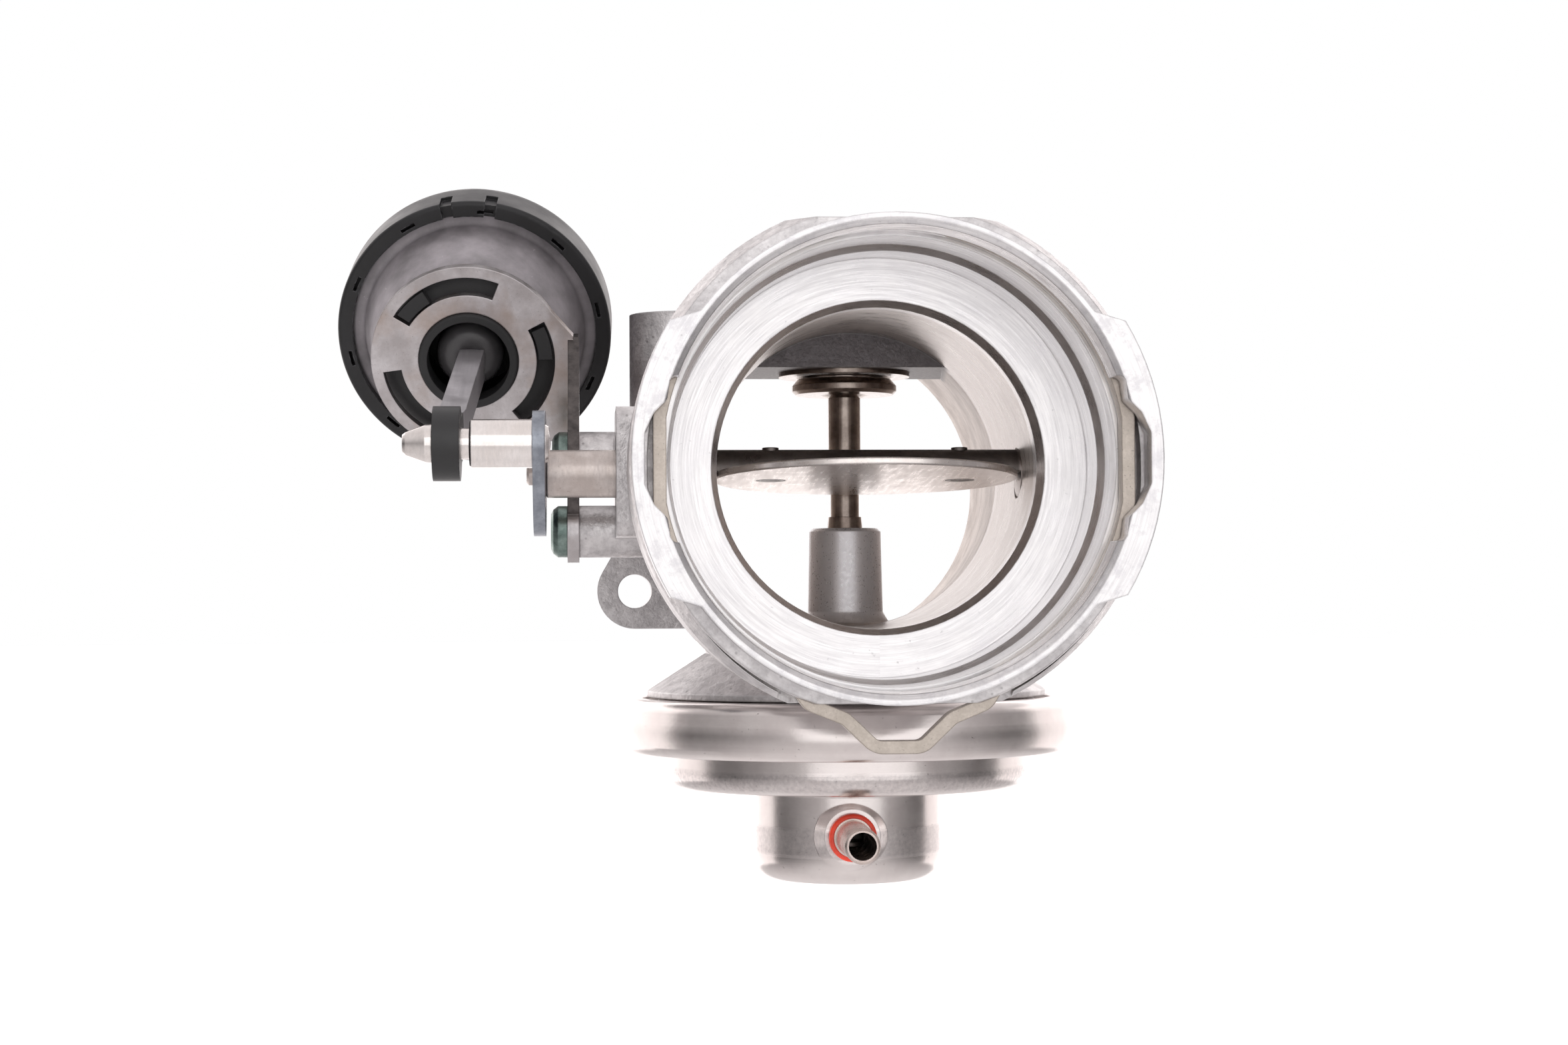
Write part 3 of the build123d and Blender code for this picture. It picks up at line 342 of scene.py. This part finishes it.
# ---------------------------------------------------------------- finishes made for one piece or place
def cast_aluminium():
    """The housing: grainy cast skin, brown in the duct, turned and milled where it is machined."""
    f = Finish("cast_aluminium", (0.6, 0.6, 0.6), 1.0, 0.4)
    worn = f.edges(0.4 * MM)
    x, y, z = f.axes()
    facing = f.split(f.facing())
    turned = f.round_place(BORE_AXIS)
    radius = f.split(turned)[0]
    stem_radius = f.split(f.round_place(CAN_AXIS))[0]

    ring = f.step(y, RING_REAR_Y, below=True)
    socket = f.all_of(f.step(radius, SOCKET_R, below=True), f.step(y, SOCKET_REAR_Y, below=True))
    throat = f.all_of(f.step(radius, THROAT_R, below=True),
                      f.step(y, THROAT_REAR_Y, soft=1.5 * MM, below=True))
    rear_face = f.step(y, -FACE_SKIN)
    top_face = f.all_of(f.step(z, GAS_FACE_Z - FACE_SKIN), f.step(z, GAS_FACE_Z + FACE_SKIN, below=True),
                        f.step(y, GAS_FLANGE_FRONT_Y), f.step(y, GAS_FLANGE_REAR_Y, below=True),
                        f.step(facing[2], 0.9, soft=0.05))
    pad_face = f.all_of(f.step(x, PAD_FACE_X + FACE_SKIN, below=True), f.step(x, PAD_FACE_X - FACE_SKIN),
                        f.step(facing[0], -0.9, soft=0.05, below=True))
    milled_face = f.any_of(rear_face, top_face, pad_face)
    bridge = f.all_of(f.step(z, BRIDGE_LOW_Z, soft=0.4 * MM),
                      f.step(z, BRIDGE_HIGH_Z, soft=0.3 * MM, below=True),
                      f.step(radius, BRIDGE_R, below=True),
                      f.step(y, BRIDGE_FRONT_Y), f.step(y, BRIDGE_REAR_Y, below=True))
    machined = f.all_of(f.any_of(ring, socket, throat, milled_face), f.opposite(bridge))
    in_duct = f.all_of(f.step(radius, DUCT_WALL_R, below=True), f.step(y, THROAT_REAR_Y, soft=1.5 * MM))
    boss = f.all_of(f.step(stem_radius, BOSS_R, soft=0.6 * MM, below=True),
                    f.step(z, BOSS_TOP_Z, below=True), f.step(z, BOSS_FOOT_Z, soft=1.0 * MM))

    # As cast: grain, cloudy stains and small pits, browner in the duct, with a darker band behind the shaft
    grain = f.noise(1900, 4.0, 0.6)
    cloud = f.noise(120, 6.0, 0.62)
    fine_cloud = f.noise(520, 5.0, 0.65)
    pits = f.node("TexVoronoi", {"Vector": f.place, "Scale": 700.0, "Randomness": 1.0}).outputs["Distance"]
    pit_mask = f.all_of(f.step(pits, 0.15, soft=0.06, below=True), f.step(cloud, 0.5, soft=0.06))
    cast = f.blend(f.between(cloud, 0.0, 1.0, 0.36, 0.64), CAST_DARK, CAST_PALE)
    cast = f.blend(f.between(fine_cloud, 0.0, 0.55, 0.42, 0.66), cast, CAST_STAIN)
    duct = f.blend(f.between(cloud, 0.0, 1.0, 0.38, 0.62), DUCT_DARK, DUCT_PALE)
    band = f.all_of(f.step(y, BAND_FRONT_Y, soft=1.0 * MM),
                    f.step(y, BAND_REAR_Y, soft=3.0 * MM, below=True))
    duct = f.blend(f.math("MULTIPLY", band, 0.6), duct, DUCT_BAND)
    cast = f.blend(in_duct, cast, duct)
    cast = f.blend(f.math("MULTIPLY", boss, 0.9), cast, BOSS_SKIN)
    # Painted shade: the bridge face over the duct is coloured near black for the shade that falls there
    cast = f.blend(f.math("MULTIPLY", bridge, 0.95), cast, BRIDGE_PAINTED_SHADE)
    outside = f.opposite(f.any_of(boss, in_duct))
    cast = f.blend(f.all_of(pit_mask, outside, 0.45), cast, CAST_PIT)

    # Machined: fine turning lines, faint chatter, stains and a few nicks
    lines = f.noise(3600, 4.0, 0.7, place=turned)
    chatter = f.noise(260, 3.0, 0.6, place=f.round_place(BORE_AXIS, round_scale=0.02))
    nick = f.noise(620, 3.0, 0.75)
    bright = f.blend(f.between(chatter, 0.0, 1.0), TURNED_DARK, TURNED_PALE)
    bright = f.blend(f.between(lines, 0.0, 0.55, 0.40, 0.7), bright, TURNED_LINE)
    bright = f.blend(f.between(nick, 0.0, 0.6, 0.68, 0.78), bright, TURNED_NICK)
    mottle = f.all_of(f.between(f.noise(420, 6.0, 0.72), 0.0, 0.75, 0.48, 0.62), ring)
    bright = f.blend(mottle, bright, RING_MOTTLE)
    milled = f.noise(1500, 3.0, 0.7, place=turned)
    bright = f.blend(milled_face, bright, f.blend(f.between(milled, 0.0, 1.0), MILLED_DARK, MILLED_PALE))
    bore_wall = f.all_of(throat, f.step(radius, BORE_WALL_R), f.step(y, BORE_WALL_FRONT_Y))
    bright = f.blend(bore_wall, bright, f.blend(f.between(chatter, 0.0, 1.0), BORE_DARK, BORE_PALE))
    bore_lip = f.all_of(f.step(radius, LIP_R, below=True), f.step(y, LIP_FRONT_Y),
                        f.step(y, LIP_REAR_Y, soft=0.5 * MM, below=True))
    bright = f.blend(bore_lip, bright, BORE_LIP)

    surface = f.blend(machined, cast, bright)
    edge_wear = f.math("MULTIPLY", worn, f.between(fine_cloud, 0.2, 0.9))
    f.set("Base Color", f.blend(edge_wear, surface, CAST_WORN))
    stained = f.any_of(in_duct, bore_wall, bore_lip)
    f.set("Metallic", f.opposite(f.math("MULTIPLY", stained, 0.5)))
    cast_rough = f.math("SUBTRACT", f.between(grain, 0.38, 0.54), f.math("MULTIPLY", boss, 0.14))
    tooling = f.math("ADD", f.math("MULTIPLY", lines, 0.6), f.math("MULTIPLY", chatter, 0.4))
    bright_rough = f.between(tooling, 0.20, 0.42)
    f.set("Roughness", f.math("ADD", f.math("MULTIPLY", cast_rough, f.opposite(machined)),
                              f.math("MULTIPLY", bright_rough, machined)))

    rough_skin = f.math("SUBTRACT", f.opposite(machined), f.math("MULTIPLY", boss, 0.85))
    f.bump(f.math("MULTIPLY", lines, machined), 8 * MICRON)
    f.bump(f.math("MULTIPLY", grain, rough_skin), 60 * MICRON)
    f.bump(f.math("MULTIPLY", fine_cloud, rough_skin), 160 * MICRON)
    f.bump(f.math("MULTIPLY", nick, machined), 10 * MICRON)
    return f.done()


def pressed_steel():
    """The vacuum can, deep-drawn sheet: drawing lines round it, dull burnished bands, small spots."""
    f = Finish("pressed_steel", (0.8, 0.76, 0.74), 1.0, 0.25)
    worn = f.edges(0.3 * MM)
    turned = f.round_place(CAN_AXIS)
    z = f.axes()[2]
    lines = f.noise(2300, 5.0, 0.7, place=turned)
    broad = f.noise(300, 3.0, 0.5, place=turned)
    cloud = f.noise(170, 5.0, 0.6)
    spots = f.noise(1500, 2.0, 0.6)
    cup_band = f.all_of(f.step(z, CUP_BAND_TOP_Z, soft=0.3 * MM, below=True),
                        f.step(z, CUP_BAND_FOOT_Z, soft=0.3 * MM))
    tier_band = f.all_of(f.step(z, TIER_BAND_TOP_Z, soft=0.3 * MM, below=True),
                         f.step(z, TIER_BAND_FOOT_Z, soft=0.3 * MM))
    bands = f.any_of(cup_band, tier_band)
    tint = f.blend(f.between(cloud, 0.0, 1.0), CAN_DARK, CAN_PALE)
    tint = f.blend(f.between(broad, 0.0, 0.15), tint, CAN_SHADE)
    tint = f.blend(f.math("MULTIPLY", bands, f.between(spots, 0.15, 0.6)), tint, CAN_BURNISH)
    tint = f.blend(f.between(spots, 0.0, 0.6, 0.70, 0.78), tint, CAN_SPOT)
    f.set("Base Color", f.blend(f.math("MULTIPLY", worn, 0.5), tint, CAN_WORN))
    uneven = f.math("ADD", f.math("MULTIPLY", lines, 0.3), f.math("MULTIPLY", cloud, 0.7))
    f.set("Roughness", f.math("ADD", f.between(uneven, 0.20, 0.28), f.math("MULTIPLY", cup_band, 0.08)))
    f.bump(lines, 3 * MICRON)
    f.bump(broad, 15 * MICRON)
    f.bump(spots, 6 * MICRON)
    f.bump(bands, 50 * MICRON)
    return f.done()


def rod_nylon():
    """The actuator's rod: a black eye round the crank pin, and a dark nylon bar lightened to grey with
    painted sheen.
    """
    # Partly the bar's own dark grey, partly painted sheen: its grey base colour
    f = moulded("rod_nylon", (0.185, 0.175, 0.185), 0.40, specular=0.6)
    eye = f.step(f.split(f.round_place(PIN_AXIS))[0], ROD_EYE_R, soft=0.3 * MM, below=True)
    flow = f.noise(900, 4.0, 0.6, stretch=(1, 0.05, 0.05))
    tint = f.blend(f.between(flow, 0.0, 0.5), f.tint(), ROD_FLOW)
    f.set("Base Color", f.blend(eye, tint, ROD_EYE))
    return f.done()


def sheen_painted_dish_nylon():
    """The actuator's body: black nylon whose dish is coloured grey as painted sheen, with its hub inside and
    its rim round it left black.
    """
    # Painted sheen: the grey base colour of the dish stands in for the sheen on black nylon
    f = moulded("sheen_painted_dish_nylon", (0.185, 0.170, 0.180), 0.62, specular=0.55, scuff=(0.30, 0.29, 0.29))
    out = f.node("VectorMath", {0: f.place, 1: NECK}, operation="SUBTRACT").outputs[0]
    across = f.node("VectorMath", {0: out, 1: ACTUATOR_WAY}, operation="CROSS_PRODUCT").outputs[0]
    radius = f.node("VectorMath", {0: across}, operation="LENGTH").outputs["Value"]
    black = f.any_of(f.step(radius, HUB_R, soft=0.4 * MM, below=True), f.step(radius, DISH_R, soft=0.3 * MM))
    f.set("Base Color", f.blend(black, f.tint(), HUB_BLACK))
    return f.done()


def bracket_steel():
    """The actuator's bracket: stained sheet whose cut edges beside the actuator are coloured dark, partly as
    dull sheared steel and partly as painted shade.
    """
    f = brushed("bracket_steel", (0.68, 0.655, 0.665), (0.44, 0.41, 0.41), 0.38, stain=170, lines=1800,
                line_depth=12 * MICRON)
    facing = f.facing()
    along = f.node("VectorMath", {0: facing, 1: ACTUATOR_WAY}, operation="DOT_PRODUCT").outputs["Value"]
    # Partly dull sheared steel, partly painted shade: the cut edges beside the actuator
    sheared = f.all_of(f.step(f.axes()[0], FOOT_LEFT_X, soft=0.3 * MM),
                       f.step(f.math("ABSOLUTE", f.split(facing)[0]), 0.5, soft=0.1, below=True),
                       f.step(f.math("ABSOLUTE", along), 0.6, soft=0.1, below=True))
    dull = f.blend(f.between(f.noise(420, 4.0, 0.6), 0.0, 1.0), SHEARED_EDGE_SHADE_DARK, SHEARED_EDGE_SHADE_PALE)
    rust = f.between(f.noise(95, 4.0, 0.6), 0.0, 0.6, 0.50, 0.68)
    tint = f.blend(rust, f.tint(), BRACKET_RUST)
    f.set("Base Color", f.blend(sheared, tint, dull))
    return f.done()


def ground_steel():
    """The throttle shaft: ground steel, with painted shade on it inside the bore."""
    f = brushed("ground_steel", (0.68, 0.62, 0.59), (0.50, 0.44, 0.41), 0.36, axis=SHAFT_AXIS, lines=2600,
                line_depth=10 * MICRON)
    # Painted shade: the shaft darkened inside the bore
    in_bore = f.step(f.math("ABSOLUTE", f.axes()[0]), SHADED_SHAFT_HALF_WIDTH, soft=0.4 * MM, below=True)
    in_bore_shade = f.math("MULTIPLY", in_bore, f.between(f.noise(240, 4.0, 0.6), 0.80, 0.97))
    f.set("Base Color", f.blend(in_bore_shade, f.tint(), SHAFT_PAINTED_SHADE))
    return f.done()


# ---------------------------------------------------------------- a finish for every material slot
FINISHES = {
    "cast_aluminium": cast_aluminium(),
    "pressed_steel": pressed_steel(),
    "zinc_steel": brushed(
        "zinc_steel", (0.40, 0.43, 0.48), (0.24, 0.26, 0.30), 0.38, stain=420).done(),
    "bracket_steel": bracket_steel(),
    "green_zinc": brushed(
        "green_zinc", (0.27, 0.345, 0.32), (0.12, 0.165, 0.15), 0.34, stain=520).done(),
    "ground_steel": ground_steel(),
    "pin_steel": brushed(
        "pin_steel", (0.90, 0.86, 0.84), (0.82, 0.77, 0.74), 0.17, axis=PIN_AXIS, lines=2400, spread=0.05,
        specks=0.1).done(),
    "flap_steel": brushed(
        "flap_steel", (0.92, 0.87, 0.84), (0.80, 0.74, 0.70), 0.30, stretch=(1, 0.04, 1), lines=1500,
        spread=0.06).done(),
    "valve_steel": brushed(
        "valve_steel", (0.42, 0.36, 0.32), (0.20, 0.165, 0.145), 0.20, axis=CAN_AXIS, lines=3000,
        spread=0.07).done(),
    "spring_steel": brushed(
        "spring_steel", (0.62, 0.56, 0.50), (0.47, 0.42, 0.37), 0.42, stain=500, edge=0.3 * MM,
        edge_color=(0.24, 0.20, 0.17)).done(),
    "nipple_steel": brushed(
        "nipple_steel", (0.78, 0.68, 0.64), (0.68, 0.57, 0.52), 0.28, axis=NIPPLE_AXIS, lines=3000).done(),
    "sintered_bronze": brushed(
        "sintered_bronze", (0.50, 0.34, 0.19), (0.26, 0.17, 0.09), 0.45, stain=900).done(),
    "black_nylon": moulded("black_nylon", (0.009, 0.009, 0.010), 0.40, specular=0.42).done(),
    "rod_nylon": rod_nylon(),
    "black_rubber": moulded(
        "black_rubber", (0.012, 0.012, 0.012), 0.60, grain=1800, specular=0.35).done(),
    "red_rubber": moulded(
        "red_rubber", (0.55, 0.035, 0.012), 0.34, specular=0.5, scuff=(0.7, 0.2, 0.15)).done(),
}
for part in frame["record"]["subparts"]:
    node = nodes[part["node"]]
    node.data.materials.clear()
    node.data.materials.append(FINISHES[part["material_slot"]])
# The actuator's body gets black nylon with painted sheen on its dish
nodes["actuator_body"].data.materials[0] = sheen_painted_dish_nylon()

# ---------------------------------------------------------------- springs, diaphragms and the rod's boot, copied from the CAD or made as round pieces
scene = bpy.context.scene
LATHE_STEPS = 128

# Places on the can's axis: where its spring stands, and the height from which its diaphragm is measured
DIAPHRAGM_ORIGIN = (0, -44.6 * MM, 0)

# Round profiles in mm, as (radius, distance along the axis)
DISC = [(2.95, -41.85), (23.6, -41.85), (23.8, -41.5), (23.6, -41.15), (2.95, -41.15)]
RIM = [(24.0, -41.8), (26.2, -42.0), (28.4, -43.1), (30.6, -43.4), (32.6, -42.5), (34.2, -41.8),
       (38.4, -41.8), (38.4, -41.2), (34.3, -41.2), (32.3, -41.8), (30.6, -42.6), (28.6, -42.4),
       (26.4, -41.4), (24.0, -41.2)]
BOOT = [(0.6, 2.2), (2.4, 1.6), (4.0, 1.7), (5.2, 2.4), (5.9, 3.6), (6.1, 5.0), (6.1, 9.0), (5.6, 9.6),
        (0.6, 9.6)]


def soft_copy(name):
    """A copy of a CAD node's mesh that is shown in its place instead of the node."""
    node = nodes[name]
    copy = bpy.data.objects.new(f"{name}_soft", node.data.copy())
    scene.collection.objects.link(copy)
    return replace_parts(copy, name)


def lathe(name, profile, origin, way, finish, body):
    """A closed round piece from a profile of (radius, distance along the way) in mm, moving with the body."""
    way = Vector(way).normalized()
    side = way.orthogonal().normalized()
    up = way.cross(side)
    mesh = bmesh.new()
    rings = []
    for step in range(LATHE_STEPS):
        angle = 2 * math.pi * step / LATHE_STEPS
        out = math.cos(angle) * side + math.sin(angle) * up
        rings.append([mesh.verts.new(Vector(origin) + (way * s + out * r) * MM) for r, s in profile])
    for step in range(LATHE_STEPS):
        ring, after = rings[step], rings[(step + 1) % LATHE_STEPS]
        for k in range(len(profile)):
            n = (k + 1) % len(profile)
            mesh.faces.new((ring[k], ring[n], after[n], after[k])).smooth = True
    bmesh.ops.recalc_face_normals(mesh, faces=mesh.faces)
    data = bpy.data.meshes.new(name)
    mesh.to_mesh(data)
    mesh.free()
    data.materials.append(finish)
    obj = bpy.data.objects.new(name, data)
    scene.collection.objects.link(obj)
    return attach(obj, body)


actuator_spring = soft_copy("actuator_spring")
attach(actuator_spring, "casting")
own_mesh(actuator_spring)
can_spring = soft_copy("can_spring")
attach(can_spring, "casting")
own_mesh(can_spring)
actuator_diaphragm = soft_copy("actuator_diaphragm")
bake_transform(actuator_diaphragm)
for piece, profile, body in (("can_diaphragm_disc", DISC, "gas_valve"),
                             ("can_diaphragm_rim", RIM, "casting")):
    ring = lathe(piece, profile, DIAPHRAGM_ORIGIN, (0, 0, 1), FINISHES["black_rubber"], body)
    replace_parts(ring, "can_diaphragm")
BOOT_RUBBER = moulded("boot_rubber", (0.034, 0.032, 0.034), 0.36, grain=1800, specular=0.6).done()
boot = lathe("rod_boot", BOOT, NECK, ACTUATOR_WAY, BOOT_RUBBER, "rod")

# ---------------------------------------------------------------- studio
TARGET = (-0.02, -0.06, -0.01)
WARM = (1.0, 0.94, 0.925)
PANEL_GLOW = 0.94
WORLD_TINT = (1.0, 0.955, 0.955, 1)
SIDE_GLOW = 0.10
AHEAD_GLOW = 0.46
AHEAD_FALLOFF = 1.6
UNDER_GLOW = 0.72
OVER_GLOW = 0.80

scene.view_settings.view_transform = "Standard"


def floor_finish():
    """Pale matt studio floor with a very faint mottle."""
    f = Finish("studio_floor", (0.86, 0.86, 0.86), 0.0, 0.8)
    mottle = f.noise(3, 3.0, 0.5)
    f.set("Base Color", f.blend(f.between(mottle, 0.0, 1.0), (0.95, 0.95, 0.95), (0.98, 0.98, 0.98)))
    f.bump(f.noise(900, 2.0, 0.5), 0.0001)
    return f.done()


def make_floor(drop=60 * MM, size=6.0):
    """A broad round floor a little below the part, which hangs by its flange."""
    mesh = bmesh.new()
    bmesh.ops.create_circle(mesh, cap_ends=True, segments=96, radius=size)
    data = bpy.data.meshes.new("studio_floor")
    mesh.to_mesh(data)
    mesh.free()
    floor = bpy.data.objects.new("studio_floor", data)
    scene.collection.objects.link(floor)
    floor.location = (0, 0, cad_box[0].z - drop)
    data.materials.append(floor_finish())
    floor.visible_glossy = False


def soft_light(name, place, aim, width, height, glow, color=(1, 1, 1)):
    """A rectangular area light at a place, turned towards its aim, of this radiance."""
    data = bpy.data.lights.new(name, "AREA")
    data.shape = "RECTANGLE"
    data.size = width
    data.size_y = height
    data.energy = math.pi * width * height * glow
    data.color = color
    lamp = bpy.data.objects.new(name, data)
    scene.collection.objects.link(lamp)
    lamp.location = place
    lamp.rotation_euler = (Vector(aim) - Vector(place)).to_track_quat("-Z", "Y").to_euler()
    lamp.visible_camera = False


def overhead_light(strength, spread, lean):
    """A broad even light from above, leaning towards the viewer. Metal doesn't mirror it."""
    data = bpy.data.lights.new("overhead", "SUN")
    data.energy = strength
    data.angle = math.radians(spread)
    lamp = bpy.data.objects.new("overhead", data)
    scene.collection.objects.link(lamp)
    lamp.rotation_euler = (math.radians(-lean), 0, 0)
    lamp.visible_glossy = False


def make_world():
    """Paper-white to the camera. What lights the part is grey, and darkest at its sides."""
    world = bpy.data.worlds.new("studio")
    scene.world = world
    world.use_nodes = True
    tree = world.node_tree
    tree.nodes.clear()

    def add(kind, *inputs, **settings):
        made = tree.nodes.new("ShaderNode" + kind)
        for key, value in settings.items():
            setattr(made, key, value)
        for place, value in enumerate(inputs):
            if isinstance(value, bpy.types.NodeSocket):
                tree.links.new(value, made.inputs[place])
            else:
                made.inputs[place].default_value = value
        return made

    def math_of(operation, *inputs):
        return add("Math", *inputs, operation=operation).outputs[0]

    way = add("SeparateXYZ", add("TexCoord").outputs["Generated"]).outputs
    ahead = math_of("POWER", math_of("ABSOLUTE", way[1]), AHEAD_FALLOFF)
    under = math_of("MAXIMUM", math_of("MULTIPLY", way[2], -1.0), 0.0)
    over = math_of("MAXIMUM", way[2], 0.0)
    level = math_of("MULTIPLY_ADD", ahead, AHEAD_GLOW, SIDE_GLOW)
    level = math_of("MULTIPLY_ADD", under, UNDER_GLOW, level)
    level = math_of("MULTIPLY_ADD", over, OVER_GLOW, level)
    shone = add("Background", WORLD_TINT, level)
    seen = add("Background", (1, 1, 1, 1), 1.0)
    path = add("LightPath")
    mix = add("MixShader", path.outputs["Is Camera Ray"], shone.outputs[0], seen.outputs[0])
    add("OutputWorld", mix.outputs[0])


make_floor()
make_world()
overhead_light(strength=2.8, spread=60, lean=12)
soft_light("front_box", (0.04, -0.64, 0.12), TARGET, width=0.80, height=0.52, glow=0.74)
soft_light("left_panel", (-1.0, 0.70, 0.10), TARGET, 1.2, 1.4, PANEL_GLOW, WARM)
soft_light("right_panel", (1.0, 0.70, 0.10), TARGET, 1.2, 1.4, PANEL_GLOW, WARM)
soft_light("rear_panel", (0.0, 1.3, 0.15), TARGET, 2.2, 1.7, PANEL_GLOW, WARM)

# ---------------------------------------------------------------- camera
SENSOR_WIDTH = 36
FOCAL_LENGTH = 60.834
CAMERA_PLACE = (-0.046995, -0.524239, -0.020508)
RIGHT = Vector((0.997207, -0.074483, -0.005451))
UP = Vector((0.003380, -0.027905, 0.999605))
BACK = Vector((-0.074605, -0.996832, -0.027576))
camera_data = bpy.data.cameras.new("camera")
camera_data.sensor_width = SENSOR_WIDTH
camera_data.lens = FOCAL_LENGTH
camera_data.clip_start = 0.01
camera = bpy.data.objects.new("camera", camera_data)
scene.collection.objects.link(camera)
turn = Matrix((RIGHT, UP, BACK)).transposed()
camera.matrix_world = Matrix.Translation(CAMERA_PLACE) @ turn.to_4x4()
scene.camera = camera
